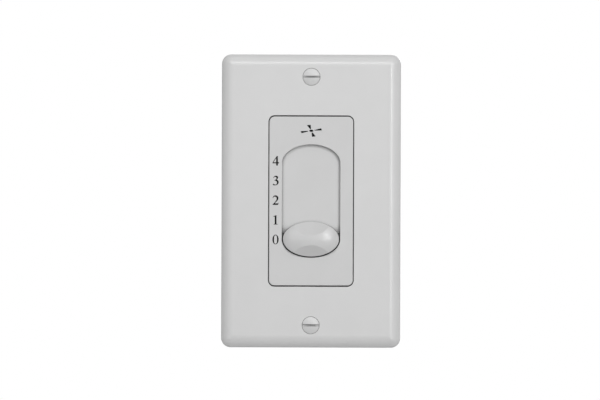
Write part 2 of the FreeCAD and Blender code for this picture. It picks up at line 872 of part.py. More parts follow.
def mounting_strap():
    """Pressed steel strap with plaster ears, folded tabs, a lug and all its holes."""
    end = strap_half_length
    body = [
        slab(strap_half_width, strap_body_half_height, strap_corner_radius, strap_front, 0),
        slab(strap_neck_width / 2, end, plaster_ear_radius, strap_front, 0),
        slab(
            ground_lug_width / 2,
            ground_lug_height / 2,
            ground_lug_radius,
            strap_front,
            0,
            ground_x,
            ground_z,
        ),
    ]
    ear_z = end - plaster_ear_height / 2
    for level in signs:
        body.append(
            slab(
                plaster_ear_width / 2,
                plaster_ear_height / 2,
                plaster_ear_radius,
                strap_front,
                0,
                0,
                level * ear_z,
            )
        )
    strap = union(body)
    neck_x = strap_neck_width / 2
    inner_corners = []
    for edge in strap.Edges:
        middle = edge.BoundBox.Center
        at_neck = abs(abs(middle.x) - neck_x) < near
        at_step = abs(abs(middle.z) - (end - plaster_ear_height)) < near
        if along_y(edge) and at_neck and at_step:
            inner_corners.append(edge)
    strap = strap.makeFillet(strap_inner_radius, inner_corners)
    cutters = [
        slab(
            strap_window_half_width, strap_window_half_height, strap_window_radius, strap_front, 0
        ),
        rod(ground_thread_radius + thread_gap, strap_front, 0, ground_x, ground_z),
    ]
    for level in signs:
        cutters.append(box_screw_slot(level * box_screw_z))
        cutters.append(rod(screw_thread_radius + thread_gap, strap_front, 0, 0, level * plate_screw_z))
    for side, level in corners:
        cutters.append(rod(break_notch_radius, strap_front, 0, side * neck_x, level * end))
        relief_z = level * tab_spacing / 2
        relief_half = tab_width / 2 + tab_relief
        relief_x = sorted((side * tab_root, side * strap_half_width))
        cutters.append(
            box(*relief_x, strap_front, 0, relief_z - relief_half, relief_z + relief_half)
        )
    strap = strap.cut(cutters)
    return union([strap] + [strap_tab(side, level) for side, level in corners])


def box_screw(z):
    """Captive screw: a reduced neck through strap and retainer, then the full thread."""
    seat = strap_front
    top = seat - box_head_height
    neck_end = retainer_thickness + box_neck_gap
    tip = seat + box_screw_length
    head = rod(box_head_radius, top + box_head_edge, seat, 0, z)
    screw = union(
        [
            head,
            cap(box_head_radius, box_head_edge, top + box_head_edge, 0, z),
            rod(box_neck_radius, seat, neck_end, 0, z),
            rod(screw_thread_radius, neck_end, tip - screw_tip, 0, z),
            taper(screw_thread_radius, screw_thread_radius - screw_tip, tip - screw_tip, tip, 0, z),
        ]
    )
    half_slot = screw_slot_width / 2
    slot_end = top + box_slot_cut_depth
    level = box(-box_head_radius, box_head_radius, top, slot_end, z - half_slot, z + half_slot)
    cross_reach = box_head_radius / 2
    upright = box(-half_slot, half_slot, top, slot_end, z - cross_reach, z + cross_reach)
    return screw.cut([level, upright])


def screw_retainer(z):
    """Thin fibre washer on the screw's neck, against the strap's back."""
    half = retainer_size / 2
    washer = slab(half, half, retainer_corner_radius, 0, retainer_thickness, 0, z)
    return washer.cut(rod(box_neck_radius + box_neck_gap, 0, retainer_thickness, 0, z))


def ground_screw():
    """Hexagonal washer head with a slot."""
    seat = strap_front
    top = seat - ground_head_height
    hex_radius = ground_hex_flats / 2 / math.cos(math.radians(30))
    points = []
    for side in range(6):
        angle = math.radians(60 * side)
        points.append(Vector(hex_radius * math.cos(angle), top, hex_radius * math.sin(angle)))
    outline = Part.makePolygon(points + points[:1])
    hexagon = Part.Face(Part.Wire(outline)).extrude(Vector(0, ground_head_height, 0))
    hexagon.translate(Vector(ground_x, 0, ground_z))
    tip = seat + ground_screw_length
    screw = union(
        [
            hexagon,
            rod(ground_washer_radius, seat - ground_washer_height, seat, ground_x, ground_z),
            rod(ground_thread_radius, seat, tip, ground_x, ground_z),
        ]
    )
    half_slot = screw_slot_width / 2
    slot = box(
        ground_x - hex_radius,
        ground_x + hex_radius,
        top,
        top + ground_slot_depth,
        ground_z - half_slot,
        ground_z + half_slot,
    )
    return screw.cut(slot)


def housing_catch(side, level):
    """A wedge on the housing's side that snaps into the strap's tab."""
    wall = housing_half_width - housing_wall / 2
    face = housing_half_width
    end = tab_window_start + tab_window_length - catch_gap
    start = tab_window_start + catch_gap
    outline = [(wall, start), (face, start), (face + catch_depth, end), (wall, end)]
    points = [(side * x, y) for x, y in outline]
    return prism_along_z(points, level * tab_spacing / 2, tab_window_width - 2 * catch_side_gap)


def housing_cavity():
    """The room in the housing: whole in front of the board, with a pillar left in each corner."""
    half_width = housing_inner_half_width
    half_height = housing_inner_half_height
    cavity = slab(half_width, half_height, housing_inner_radius, 0, housing_inside)
    pillars = []
    for side, level in corners:
        pillar_x = side * half_width
        pillar_z = level * half_height
        pillars.append(
            slab(
                pillar_width,
                pillar_height,
                pillar_radius,
                board_back,
                housing_inside,
                pillar_x,
                pillar_z,
            )
        )
    return cavity.cut(pillars)


def drafted_section(half, place):
    """The housing's outline across one of its directions, narrower at the back."""
    end = half - housing_draft
    outline = [(-half, 0), (half, 0), (end, housing_depth), (-end, housing_depth)]
    return Part.Face(loop(outline, place))


def rear_housing():
    """Moulded case with a little draft, round at the back, open at the front."""
    upright = drafted_section(housing_half_width, across_z)
    upright = upright.extrude(Vector(0, 0, 2 * housing_half_height))
    upright.translate(Vector(0, 0, -housing_half_height))
    level = drafted_section(housing_half_height, across_x).extrude(Vector(housing_width, 0, 0))
    level.translate(Vector(-housing_half_width, 0, 0))
    case = upright.common(level)
    sides = [e for e in case.Edges if not in_plane(e, 0) and not in_plane(e, housing_depth)]
    case = case.makeFillet(housing_corner_radius, sides)
    case = case.makeFillet(housing_back_edge, [e for e in case.Edges if in_plane(e, housing_depth)])
    case = case.makeFillet(housing_mouth_edge, [e for e in case.Edges if in_plane(e, 0)])
    catches = [housing_catch(side, level) for side, level in corners]
    case = union([case] + catches)
    case = case.cut(housing_cavity())
    pilot_end = board_front + board_screw_length + board_hole_gap
    for side in signs:
        x = side * lead_spacing / 2
        rim = rod(
            lead_hole_radius + lead_rim_wall, housing_inside, housing_depth + lead_rim_height, x, lead_z
        )
        case = union([case, rim])
        case = case.cut(rod(lead_hole_radius, housing_inside, housing_depth + lead_rim_height, x, lead_z))
        pilot = rod(
            board_screw_radius + thread_gap,
            board_back,
            pilot_end,
            side * board_screw_x,
            side * board_screw_z,
        )
        case = case.cut(pilot)
    return case


def resistor_x(side):
    return side * resistor_spacing / 2


def board_holes():
    """Every hole through the board, at the place of what passes through it."""
    holes = []
    pin_hole = contact_pin_radius + pin_hole_gap
    for position in range(speed_positions):
        z = knob_rest_z + position * speed_step
        holes.append(rod(pin_hole, board_front, board_back, contact_x, z))
    for side in signs:
        holes.append(rod(pin_hole, board_front, board_back, -contact_x, side * rail_pin_z))
        screw_hole = board_screw_radius + board_hole_gap
        x = side * board_screw_x
        z = side * board_screw_z
        holes.append(rod(screw_hole, board_front, board_back, x, z))
        for capacitor in capacitors:
            lead_hole = capacitor_lead_radius + pin_hole_gap
            x = side * capacitor["pitch"] / 2
            holes.append(rod(lead_hole, board_front, board_back, x, capacitor["z"]))
        for end in signs:
            lead_hole = resistor_lead_radius + pin_hole_gap
            x = resistor_x(side) + end * resistor_pitch / 2
            holes.append(rod(lead_hole, board_front, board_back, x, resistor_z))
    return holes


def circuit_board():
    half_width = housing_inner_half_width - board_gap
    half_height = housing_inner_half_height - board_gap
    board = slab(half_width, half_height, board_corner_radius, board_front, board_back)
    return board.cut(board_holes())


def board_screws():
    """Two small domed screws, in opposite corners of the board."""
    screws = []
    for side in signs:
        x = side * board_screw_x
        z = side * board_screw_z
        rim_y = board_front - board_head_height + board_head_dome
        screw = union(
            [
                cap(board_head_radius, board_head_dome, rim_y, x, z),
                rod(board_head_radius, rim_y, board_front, x, z),
                rod(board_screw_radius, board_front, board_front + board_screw_length, x, z),
            ]
        )
        slot = box(
            x - board_head_radius,
            x + board_head_radius,
            rim_y - board_head_dome,
            rim_y,
            z - board_slot_width / 2,
            z + board_slot_width / 2,
        )
        screws.append(screw.cut(slot))
    return Part.makeCompound(screws)


def contact_pin(x, z):
    return rod(contact_pin_radius, board_front, board_back - contact_pin_short, x, z)


def speed_contact(position):
    """A stamped pad with one pin through the board."""
    z = knob_rest_z + position * speed_step
    pad = slab(
        contact_width / 2,
        contact_height / 2,
        contact_corner_radius,
        contact_front,
        board_front,
        contact_x,
        z,
    )
    return union([pad, contact_pin(contact_x, z)])


def common_rail():
    """A long stamped pad that the wiper touches in every position."""
    pad = slab(
        rail_width / 2,
        knob_travel / 2 + rail_overrun,
        contact_corner_radius,
        contact_front,
        board_front,
        -contact_x,
        0,
    )
    pins = [contact_pin(-contact_x, side * rail_pin_z) for side in signs]
    return union([pad] + pins)


def film_capacitor(sizes):
    """A boxed capacitor on two feet, with a round wire lead at each end."""
    width = sizes["width"]
    thickness = sizes["thickness"]
    z = sizes["z"]
    body_start = board_back + capacitor_foot
    end = board_back + sizes["height"]
    body = box(-width / 2, width / 2, body_start, end, z - thickness / 2, z + thickness / 2)
    body = body.makeFillet(capacitor_edge_radius, [e for e in body.Edges if not in_plane(e, body_start)])
    pieces = [body]
    foot_half = thickness / 2 - capacitor_foot_inset
    for side in signs:
        foot_x = side * (width / 2 - capacitor_foot_inset)
        foot_width = capacitor_foot_inset / 2
        pieces.append(
            box(
                foot_x - foot_width,
                foot_x + foot_width,
                board_back,
                body_start,
                z - foot_half,
                z + foot_half,
            )
        )
        lead_x = side * sizes["pitch"] / 2
        pieces.append(rod(capacitor_lead_radius, board_front - lead_stand, body_start, lead_x, z))
    return union(pieces)


def bleed_resistor(side):
    """A resistor lying on the board, its lead bent down at both ends."""
    x = resistor_x(side)
    y = board_back + resistor_stand + resistor_radius
    half_length = resistor_length / 2
    shoulder = half_length - resistor_cap
    waist = resistor_radius - resistor_waist
    profile = [
        (-half_length, 0),
        (-half_length, resistor_radius),
        (-shoulder, resistor_radius),
        (-shoulder + resistor_waist, waist),
        (shoulder - resistor_waist, waist),
        (shoulder, resistor_radius),
        (half_length, resistor_radius),
        (half_length, 0),
    ]
    section = Part.Face(loop(profile, lambda u, v: Vector(x + u, y + v, resistor_z)))
    body = section.revolve(Vector(x, y, resistor_z), Vector(1, 0, 0), 360)
    foot_y = board_front - lead_stand
    half_pitch = resistor_pitch / 2
    bend = resistor_bend_radius
    half_root = bend * (1 - math.sqrt(0.5))
    stretches = [[(-half_pitch + bend, y), (half_pitch - bend, y)]]
    for end in signs:
        stretches.append(
            [
                (end * (half_pitch - bend), y),
                (end * (half_pitch - half_root), y - half_root),
                (end * half_pitch, y - bend),
            ]
        )
        stretches.append([(end * half_pitch, y - bend), (end * half_pitch, foot_y)])
    line = path([[Vector(x + u, v, resistor_z) for u, v in points] for points in stretches])
    start = line.OrderedVertexes[0].Point
    wire_end = Part.Wire(Part.makeCircle(resistor_lead_radius, start, Vector(0, 1, 0)))
    lead = line.makePipeShell([wire_end], True, False)
    return union([body, lead])


def build_nodes():
    nodes = {
        "wall_plate": wall_plate(),
        "upper_plate_screw": plate_screw(plate_screw_z),
        "lower_plate_screw": plate_screw(-plate_screw_z),
        "face_bezel": face_bezel(),
        "track_floor": track_floor(),
        "slide_knob": slide_knob(),
        "slide_carriage": slide_carriage(),
        "wiper_contact": wiper_contact(),
        "detent_spring": detent_spring(),
        "mounting_strap": mounting_strap(),
        "upper_box_screw": box_screw(box_screw_z),
        "lower_box_screw": box_screw(-box_screw_z),
        "upper_screw_retainer": screw_retainer(box_screw_z),
        "lower_screw_retainer": screw_retainer(-box_screw_z),
        "ground_screw": ground_screw(),
        "rear_housing": rear_housing(),
        "circuit_board": circuit_board(),
        "board_screws": board_screws(),
        "common_rail": common_rail(),
        "large_capacitor": film_capacitor(large_capacitor),
        "middle_capacitor": film_capacitor(middle_capacitor),
        "small_capacitor": film_capacitor(small_capacitor),
        "left_bleed_resistor": bleed_resistor(-1),
        "right_bleed_resistor": bleed_resistor(1),
    }
    for position in range(speed_positions):
        nodes[f"speed_contact_{position}"] = speed_contact(position)
    return nodes


os.makedirs("parts", exist_ok=True)
for name, shape in build_nodes().items():
    shape.exportStep(f"parts/{name}.step")
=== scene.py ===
import json
import math
import bmesh
import bpy
from mathutils import Matrix, Vector


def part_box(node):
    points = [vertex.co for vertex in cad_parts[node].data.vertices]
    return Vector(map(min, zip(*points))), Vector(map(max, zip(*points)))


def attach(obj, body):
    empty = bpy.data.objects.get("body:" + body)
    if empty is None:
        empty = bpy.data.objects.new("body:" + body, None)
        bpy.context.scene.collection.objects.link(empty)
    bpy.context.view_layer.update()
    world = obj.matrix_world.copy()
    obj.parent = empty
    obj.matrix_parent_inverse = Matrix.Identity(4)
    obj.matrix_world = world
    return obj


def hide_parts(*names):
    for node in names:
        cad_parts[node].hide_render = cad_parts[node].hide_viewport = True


# The looks of a fan speed control, in metres. X runs to the right, Y back into the wall and
# Z up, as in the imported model, whose pieces stay where they are.
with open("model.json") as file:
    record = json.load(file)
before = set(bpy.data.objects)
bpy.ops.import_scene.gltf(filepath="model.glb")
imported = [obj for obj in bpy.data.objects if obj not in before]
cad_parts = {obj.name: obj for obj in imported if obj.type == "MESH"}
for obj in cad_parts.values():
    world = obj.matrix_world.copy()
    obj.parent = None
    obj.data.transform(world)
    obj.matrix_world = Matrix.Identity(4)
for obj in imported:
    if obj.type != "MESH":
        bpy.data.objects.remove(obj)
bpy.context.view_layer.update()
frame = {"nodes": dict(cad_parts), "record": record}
nodes = frame["nodes"]
MM = 0.001

# Meshes: points nearer than this are one, and a steeper turn than this stays an edge
WELD = 2e-7
SHARP_ANGLE = math.radians(35)
# Curves: steps in each stretch, and the handle of a quarter circle by its radius
CURVE_STEPS = 10
CIRCLE_HANDLE = 0.5523

# Camera, as the photograph's: straight in front, far away, the switch right of the middle
CAMERA_AT = (-0.00432, -2.0, 0.0004)
CAMERA_LENS = 307.0
CAMERA_ROLL = math.radians(-0.2)
CAMERA_SENSOR = 36
CAMERA_REACH = (0.1, 20)

# Stage
FLOOR_LEVEL = -0.14
FLOOR_RADIUS = 1.2
FLOOR_BOUNCE = 0.45
FLOOR_COLOURS = (0.8, 0.78)
FLOOR_BLOTCH = 0.3
FLOOR_ROUGHNESS = 0.8
FLOOR_SPECULAR = 0.2
FLOOR_SEGMENTS = 96
# The floor's share of glow, inside the first radius and outside the second
FLOOR_GLOW = (0.6, 1)
FLOOR_FADE = (0.25, 0.95 * FLOOR_RADIUS)
AMBIENT = 0.15
LAMPS = {
    # name: (turn to the right, height, distance, width, tallness, power)
    "front": (2, 8, 1.7, 2.8, 2.8, 21.6),
    "strip": (24, 11, 1.7, 0.12, 0.9, 5.7),
    "top": (2, 31, 1.7, 1.4, 0.1, 4.9),
    "high": (6, 62, 1.7, 1.0, 0.5, 1.6),
    "back": (150, 28, 1.8, 1.4, 1.4, 17.0),
}

# Painted corner shade: share of open directions where a corner's painted shade is darkest, and
# from which it is fully light
CORNER_SHADE_RANGE = (0.2, 0.65)
CORNER_SHADE_SAMPLES = 8


def add(tree, kind, inputs=None, **settings):
    """A shader node with its settings, and its inputs set to values or joined to sockets."""
    node = tree.nodes.new(kind)
    for name, value in settings.items():
        setattr(node, name, value)
    for name, value in (inputs or {}).items():
        if isinstance(value, bpy.types.NodeSocket):
            tree.links.new(value, node.inputs[name])
        else:
            node.inputs[name].default_value = value
    return node


def place(tree, stretch=(1, 1, 1)):
    """Object coordinates in metres, stretched for a pattern with a direction."""
    coordinates = add(tree, "ShaderNodeTexCoord").outputs["Object"]
    return add(tree, "ShaderNodeMapping", {"Vector": coordinates, "Scale": stretch}).outputs[0]


def noise(tree, size, stretch=(1, 1, 1), detail=3.0):
    """Noise whose lumps are about as wide as size, in metres."""
    inputs = {"Vector": place(tree, stretch), "Scale": 1 / size, "Detail": detail}
    return add(tree, "ShaderNodeTexNoise", inputs).outputs["Fac"]


def spread(tree, value, low, high, start=0.3, end=0.7):
    """A pattern's middle range, mapped from low to high."""
    inputs = {"Value": value, "From Min": start, "From Max": end, "To Min": low, "To Max": high}
    return add(tree, "ShaderNodeMapRange", inputs).outputs["Result"]


def blend_colours(tree, amount, first, second):
    """The first colour where the amount is 0, the second where it is 1."""
    mix = add(tree, "ShaderNodeMix", {"Factor": amount}, data_type="RGBA")
    for name, value in (("A", first), ("B", second)):
        socket = [s for s in mix.inputs if s.name == name and s.type == "RGBA"][0]
        if isinstance(value, bpy.types.NodeSocket):
            tree.links.new(value, socket)
        else:
            socket.default_value = (*value, 1)
    return [s for s in mix.outputs if s.type == "RGBA"][0]


def relief(tree, height, depth, under=None):
    """A bump as deep as depth, in metres, over another one."""
    inputs = {"Height": height, "Distance": depth, "Strength": 1.0}
    if under is not None:
        inputs["Normal"] = under
    return add(tree, "ShaderNodeBump", inputs).outputs["Normal"]


def finish(name, light, dark, blotch, roughness, grain, **more):
    """A surface of two near colours in blotches, with a roughness range and a fine relief.

    grain is (size, depth) in metres. more has metallic, specular, stretch, wave and corner, which
    paints shade into narrow corners,
    gaps and slots from ambient occlusion: how near the other side is, and how light the painted
    shade stays at its darkest."""
    material = bpy.data.materials.new(name)
    material.use_nodes = True
    tree = material.node_tree
    shader = tree.nodes["Principled BSDF"]
    stretch = more.get("stretch", (1, 1, 1))
    patches = noise(tree, blotch, stretch)
    colour = blend_colours(tree, spread(tree, patches, 0, 1), dark, light)
    # Painted shade: the colour goes towards black in narrow corners, gaps and slots, as far as
    # ambient occlusion finds the other side near
    if "corner" in more:
        reach, shade = more["corner"]
        near = add(
            tree, "ShaderNodeAmbientOcclusion", {"Distance": reach}, samples=CORNER_SHADE_SAMPLES
        )
        bare = spread(tree, near.outputs["AO"], shade, 1, *CORNER_SHADE_RANGE)
        colour = blend_colours(tree, bare, (0, 0, 0), colour)
    tree.links.new(colour, shader.inputs["Base Color"])
    tree.links.new(
        spread(tree, noise(tree, blotch / 3, stretch), *roughness), shader.inputs["Roughness"]
    )
    size, depth = grain
    normal = relief(tree, noise(tree, size, stretch, 2.0), depth)
    if "wave" in more:
        wave_size, wave_depth = more["wave"]
        normal = relief(tree, noise(tree, wave_size), wave_depth, normal)
    tree.links.new(normal, shader.inputs["Normal"])
    shader.inputs["Metallic"].default_value = more.get("metallic", 0.0)
    shader.inputs["Specular IOR Level"].default_value = more.get("specular", 0.5)
    return material


def grey(level):
    """A grey as light as level."""
    return (level, level, level)


# Moulded and painted whites; corner paints shade into their narrow corners, slots and gaps
white_grain = (0.35 * MM, 0.0011 * MM)
white_wave = (6 * MM, 0.004 * MM)
materials = {
    "plate_white": finish(
        "plate_white", grey(0.665), grey(0.65), 12 * MM, (0.2, 0.25), white_grain,
        wave=white_wave, specular=0.4, corner=(1.5 * MM, 0.05),
    ),
    "insert_white": finish(
        "insert_white", grey(0.631), grey(0.618), 9 * MM, (0.38, 0.46), white_grain,
        wave=white_wave, specular=0.3, corner=(3 * MM, 0.1),
    ),
    "knob_white": finish(
        "knob_white", grey(0.606), grey(0.594), 6 * MM, (0.22, 0.27), white_grain,
        wave=white_wave, specular=0.45, corner=(1.6 * MM, 0.4),
    ),
    "screw_white": finish(
        "screw_white", grey(0.63), grey(0.61), 1.2 * MM, (0.3, 0.38), (0.5 * MM, 0.003 * MM),
        specular=0.5, corner=(1.5 * MM, 0.05),
    ),
    "carriage_plastic": finish(
        "carriage_plastic", grey(0.035), grey(0.025), 4 * MM, (0.4, 0.5), (0.3 * MM, 0.002 * MM),
    ),
    "housing_black": finish(
        "housing_black", (0.034, 0.034, 0.036), (0.024, 0.024, 0.026), 14 * MM, (0.46, 0.6),
        (0.28 * MM, 0.012 * MM), wave=(9 * MM, 0.01 * MM), specular=0.45,
    ),
    "strap_zinc": finish(
        "strap_zinc", (0.7, 0.71, 0.73), (0.6, 0.61, 0.64), 5 * MM, (0.3, 0.44),
        (0.12 * MM, 0.0012 * MM), metallic=1.0, stretch=(1, 1, 0.12),
    ),
    "box_screw_steel": finish(
        "box_screw_steel", (0.68, 0.68, 0.67), (0.56, 0.56, 0.56), 1.5 * MM, (0.24, 0.38),
        (0.2 * MM, 0.002 * MM), metallic=1.0,
    ),
    "spring_steel": finish(
        "spring_steel", (0.62, 0.63, 0.64), (0.5, 0.51, 0.53), 2 * MM, (0.22, 0.32),
        (0.1 * MM, 0.001 * MM), metallic=1.0, stretch=(0.15, 1, 1),
    ),
    "wiper_bronze": finish(
        "wiper_bronze", (0.78, 0.5, 0.3), (0.62, 0.37, 0.2), 2 * MM, (0.24, 0.36),
        (0.1 * MM, 0.001 * MM), metallic=1.0, stretch=(0.15, 1, 1),
    ),
    "contact_brass": finish(
        "contact_brass", (0.82, 0.62, 0.3), (0.68, 0.48, 0.2), 2.5 * MM, (0.22, 0.36),
        (0.12 * MM, 0.0012 * MM), metallic=1.0,
    ),
    "ground_green": finish(
        "ground_green", (0.07, 0.34, 0.14), (0.04, 0.22, 0.09), 1.6 * MM, (0.28, 0.4),
        (0.25 * MM, 0.003 * MM), metallic=0.7,
    ),
    "retainer_fibre": finish(
        "retainer_fibre", (0.3, 0.11, 0.06), (0.16, 0.055, 0.03), 0.7 * MM, (0.65, 0.8),
        (0.12 * MM, 0.012 * MM), stretch=(1, 1, 0.4), specular=0.3,
    ),
    "board_green": finish(
        "board_green", (0.035, 0.17, 0.06), (0.018, 0.1, 0.035), 2.4 * MM, (0.3, 0.4),
        (0.5 * MM, 0.006 * MM),
    ),
    "capacitor_yellow": finish(
        "capacitor_yellow", (0.78, 0.5, 0.05), (0.7, 0.43, 0.035), 6 * MM, (0.3, 0.4),
        (0.3 * MM, 0.003 * MM), wave=white_wave,
    ),
    "resistor_coat": finish(
        "resistor_coat", (0.3, 0.47, 0.5), (0.24, 0.4, 0.43), 1.5 * MM, (0.26, 0.36),
        (0.3 * MM, 0.006 * MM),
    ),
    "ink_black": finish(
        "ink_black", grey(0.008), grey(0.005), 1 * MM, (0.55, 0.65), (0.15 * MM, 0.003 * MM),
        specular=0.1,
    ),
}
for row in frame["record"]["subparts"]:
    piece = nodes[row["node"]]
    piece.data.materials.clear()
    piece.data.materials.append(materials[row["material_slot"]])


def dress(piece, slot, body="switch"):
    """A new piece takes a slot's material and rides on a body."""
    piece.data.materials.clear()
    piece.data.materials.append(materials[slot])
    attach(piece, body)
    return piece


def mesh_piece(name, mesh):
    """An object of a closed mesh, smooth up to an angle."""
    shape = bmesh.new()
    shape.from_mesh(mesh)
    bmesh.ops.remove_doubles(shape, verts=shape.verts, dist=WELD)
    bmesh.ops.recalc_face_normals(shape, faces=shape.faces)
    shape.to_mesh(mesh)
    shape.free()
    mesh.name = name
    old_normals = mesh.attributes.get("custom_normal")
    if old_normals:
        mesh.attributes.remove(old_normals)
    mesh.shade_smooth()
    mesh.set_sharp_from_angle(angle=SHARP_ANGLE)
    piece = bpy.data.objects.new(name, mesh)
    bpy.context.scene.collection.objects.link(piece)
    return piece


# Ink on the insert's face. Each outline is a start point and its stretches: two numbers are
# a straight line to that point, and six are a curve with its two handles first. Before
# its outlines each numeral has the middle of its width.
ink_thickness = 0.02 * MM
numeral_height = 3.66 * MM
numeral_stretch = 1.03
numeral_x = -13.8 * MM
numeral_middle = 0.3 * MM
numeral_pitch = 7.66 * MM
middle_numeral = 2
numerals = {
    "0": (
        0.32,
        [
            (0.32, 1.015),
            (0.14, 1.015, 0, 0.8, 0, 0.5),
            (0, 0.2, 0.14, -0.015, 0.32, -0.015),
            (0.5, -0.015, 0.64, 0.2, 0.64, 0.5),
            (0.64, 0.8, 0.5, 1.015, 0.32, 1.015),
        ],
        [
            (0.32, 0.945),
            (0.2, 0.945, 0.165, 0.77, 0.165, 0.5),
            (0.165, 0.23, 0.2, 0.055, 0.32, 0.055),
            (0.44, 0.055, 0.475, 0.23, 0.475, 0.5),
            (0.475, 0.77, 0.44, 0.945, 0.32, 0.945),
        ],
    ),
    "1": (
        0.24,
        [
            (0.29, 1),
            (0.33, 1),
            (0.33, 0.12),
            (0.33, 0.06, 0.36, 0.05, 0.45, 0.045),
            (0.45, 0),
            (0.03, 0),
            (0.03, 0.045),
            (0.12, 0.05, 0.15, 0.06, 0.15, 0.12),
            (0.15, 0.77),
            (0.15, 0.85, 0.11, 0.865, 0, 0.83),
            (0, 0.875),
        ],
    ),
    "2": (
        0.32,
        [
            (0, 0),
            (0.56, 0),
            (0.64, 0.24),
            (0.6, 0.24),
            (0.57, 0.175, 0.54, 0.165, 0.46, 0.165),
            (0.22, 0.165),
            (0.4, 0.34),
            (0.53, 0.47, 0.6, 0.59, 0.6, 0.73),
            (0.6, 0.9, 0.47, 1.015, 0.3, 1.015),
            (0.14, 1.015, 0.04, 0.92, 0.01, 0.73),
            (0.05, 0.72),
            (0.09, 0.83, 0.14, 0.88, 0.23, 0.88),
            (0.34, 0.88, 0.415, 0.8, 0.415, 0.68),
            (0.415, 0.53, 0.34, 0.41, 0.21, 0.265),
            (0, 0.04),
        ],
    ),
    "3": (
        0.29,
        [
            (0.03, 0.76),
            (0.08, 0.93, 0.18, 1.015, 0.31, 1.015),
            (0.45, 1.015, 0.53, 0.93, 0.53, 0.815),
            (0.53, 0.73, 0.48, 0.655, 0.39, 0.605),
            (0.52, 0.555, 0.59, 0.45, 0.59, 0.32),
            (0.59, 0.12, 0.42, -0.015, 0.18, -0.015),
            (0.06, -0.015, -0.01, 0.02, -0.01, 0.08),
            (-0.01, 0.12, 0.02, 0.15, 0.065, 0.15),
            (0.125, 0.15, 0.16, 0.065, 0.235, 0.065),
            (0.33, 0.065, 0.41, 0.15, 0.41, 0.275),
            (0.41, 0.41, 0.31, 0.485, 0.15, 0.485),
            (0.15, 0.53),
            (0.28, 0.565, 0.355, 0.65, 0.355, 0.755),
            (0.355, 0.84, 0.3, 0.89, 0.22, 0.89),
            (0.155, 0.89, 0.105, 0.845, 0.065, 0.745),
        ],
    ),
    "4": (
        0.33,
        [
            (0.54, 0),
            (0.54, 0.23),
            (0.66, 0.23),
            (0.66, 0.36),
            (0.54, 0.36),
            (0.54, 1.01),
            (0.43, 1.01),
            (0, 0.35),
            (0, 0.23),
            (0.37, 0.23),
            (0.37, 0),
        ],
        [
            (0.37, 0.36),
            (0.37, 0.8),
            (0.085, 0.36),
        ],
    ),
}


def add_outline(curve, outline, put):
    """One closed Bezier outline, each of its flat points put in place."""
    start = outline[0]
    knots = [[start, start, start]]
    for stretch in outline[1:]:
        if len(stretch) == 2:
            knots.append([stretch, stretch, stretch])
        else:
            knots[-1][2] = stretch[0:2]
            knots.append([stretch[2:4], stretch[4:6], stretch[4:6]])
    if knots[-1][1] == knots[0][1]:
        knots[0][0] = knots[-1][0]
        knots.pop()
    spline = curve.splines.new("BEZIER")
    spline.bezier_points.add(len(knots) - 1)
    for point, (handle_in, at, handle_out) in zip(spline.bezier_points, knots):
        point.handle_left_type = "FREE"
        point.handle_right_type = "FREE"
        point.co = put(*at)
        point.handle_left = put(*handle_in)
        point.handle_right = put(*handle_out)
    spline.use_cyclic_u = True
    spline.resolution_u = CURVE_STEPS


def flat_piece(name, outlines_and_places, y_low, y_high, slot, body="switch"):
    """A closed flat piece square to Y, between two depths, of outlines and their holes."""
    curve = bpy.data.curves.new(name + "_outline", "CURVE")
    curve.dimensions = "2D"
    curve.fill_mode = "BOTH"
    curve.extrude = (y_high - y_low) / 2
    for outline, put in outlines_and_places:
        add_outline(curve, outline, put)
    flat = bpy.data.objects.new(name + "_outline", curve)
    bpy.context.scene.collection.objects.link(flat)
    bpy.context.view_layer.update()
    mesh = bpy.data.meshes.new_from_object(flat)
    bpy.data.objects.remove(flat)
    mesh.transform(Matrix.Rotation(math.radians(90), 4, "X"))
    mesh.transform(Matrix.Translation((0, (y_low + y_high) / 2, 0)))
    dress(mesh_piece(name, mesh), slot, body)


def ink(name, outlines_and_places):
    """A thin closed layer of ink that lies on the insert's face."""
    face_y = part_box("face_bezel")[0].y
    flat_piece(name, outlines_and_places, face_y - ink_thickness, face_y, "ink_black")


for numeral, (middle, *outlines) in numerals.items():
    centre_z = numeral_middle + (int(numeral) - middle_numeral) * numeral_pitch

    def put_numeral(u, v, middle=middle, centre_z=centre_z):
        x = numeral_x + (u - middle) * numeral_height * numeral_stretch
        return (x, centre_z + (v - 0.5) * numeral_height, 0)

    ink("numeral_" + numeral, [(outline, put_numeral) for outline in outlines])

# Fan sign: a hub and four blades, drawn flat and seen at a slant
sign_radius = 4.15 * MM
sign_turn = math.radians(14)
sign_slant = 0.57
sign_z = 27.4 * MM
hub = [
    (0.19, 0),
    (0.19, 0.105, 0.105, 0.19, 0, 0.19),
    (-0.105, 0.19, -0.19, 0.105, -0.19, 0),
    (-0.19, -0.105, -0.105, -0.19, 0, -0.19),
    (0.105, -0.19, 0.19, -0.105, 0.19, 0),
]
blade = [
    (0.3, -0.045),
    (0.93, -0.17),
    (0.975, -0.178, 0.99, -0.16, 0.99, -0.12),
    (0.99, 0.12),
    (0.99, 0.16, 0.975, 0.178, 0.93, 0.17),
    (0.3, 0.045),
]
sign = []
for quarter in range(5):
    turn = sign_turn + quarter * math.pi / 2

    def put_sign(u, v, turn=turn):
        x = u * math.cos(turn) - v * math.sin(turn)
        z = u * math.sin(turn) + v * math.cos(turn)
        return (x * sign_radius, sign_z + z * sign_radius * sign_slant, 0)

    sign.append((hub if quarter == 4 else blade, put_sign))
ink("fan_sign", sign)


# Screws with cut threads. Each keeps the head of its CAD solid, up to its cut along Y.
# The profile has shares of the pitch along the screw and shares of the thread's height.
steps_round = 32
thread_pitch = 25.4 / 32 * MM
thread_profile = ((0.125, 0), (0.44, 1), (0.56, 1), (0.875, 0))
run_out_steps = 16
thread_overlap = 0.1 * MM
cut_weld = 1e-8
thread_root = 1.36 * MM
thread_crest = 1.75 * MM
ground_thread_root = 1.7 * MM
ground_thread_crest = 2.08 * MM
plate_screw_cut = -3.45 * MM
box_screw_cut = 0.5 * MM
ground_screw_cut = -1.2 * MM


